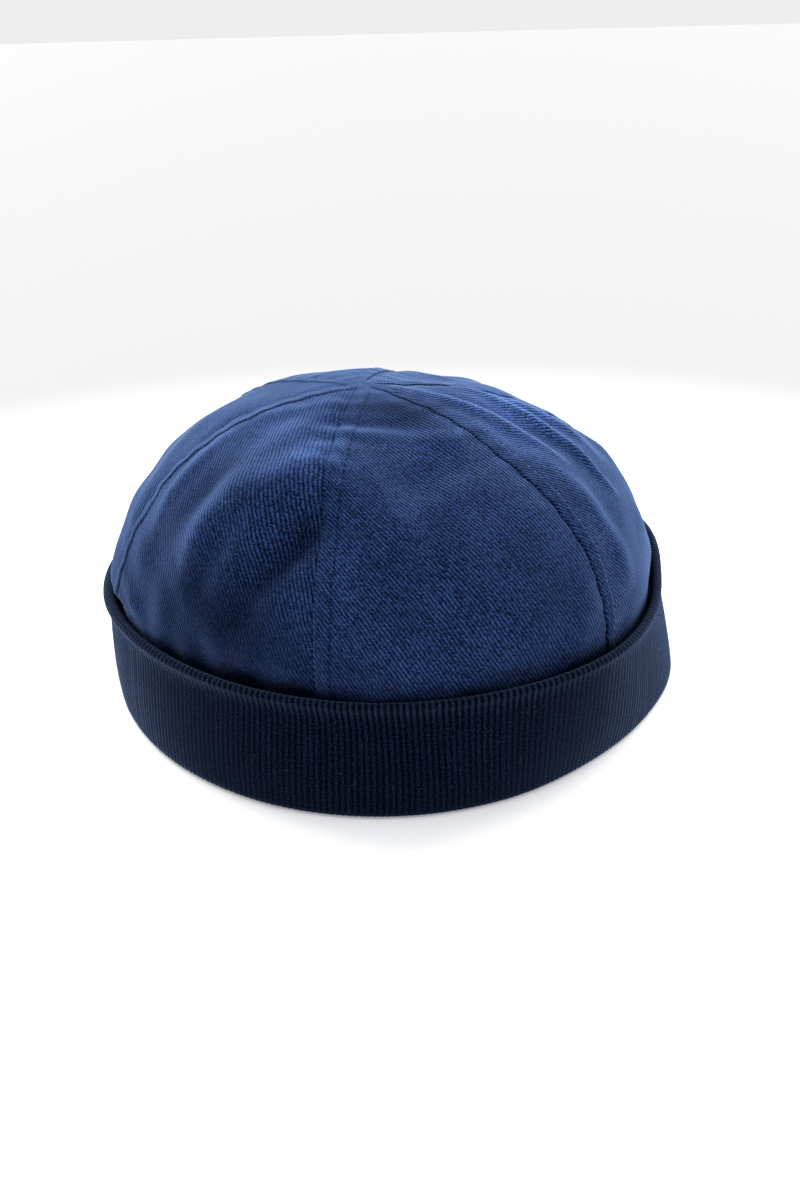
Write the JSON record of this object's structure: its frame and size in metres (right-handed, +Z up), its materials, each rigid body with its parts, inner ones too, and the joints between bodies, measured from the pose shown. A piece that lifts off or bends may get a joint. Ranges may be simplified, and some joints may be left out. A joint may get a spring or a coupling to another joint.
{
  "type": "docker beanie",
  "caption": "Brimless cap with a soft dome of twill gores, seamed to the apex, on a turned-up double cuff of fine rib knit; hollow and open below.",
  "frame": {"origin": "middle of the cuff's foot, on the surface that the cap stands on", "axes": "+Z up to the apex, -Y the front of the cap as pictured, +X its right side"},
  "size_m": [0.2012, 0.2042, 0.1033],
  "materials": {
    "twill": "brushed cotton twill, mid blue",
    "rib_knit": "fine cotton rib knit, dark navy"
  },
  "bodies": {
    "root": {"crown_gore_1": "twill", "crown_gore_2": "twill", "crown_gore_3": "twill", "crown_gore_4": "twill", "crown_gore_5": "twill", "crown_gore_6": "twill", "rib_cuff": "rib_knit"}
  },
  "joints": []
}
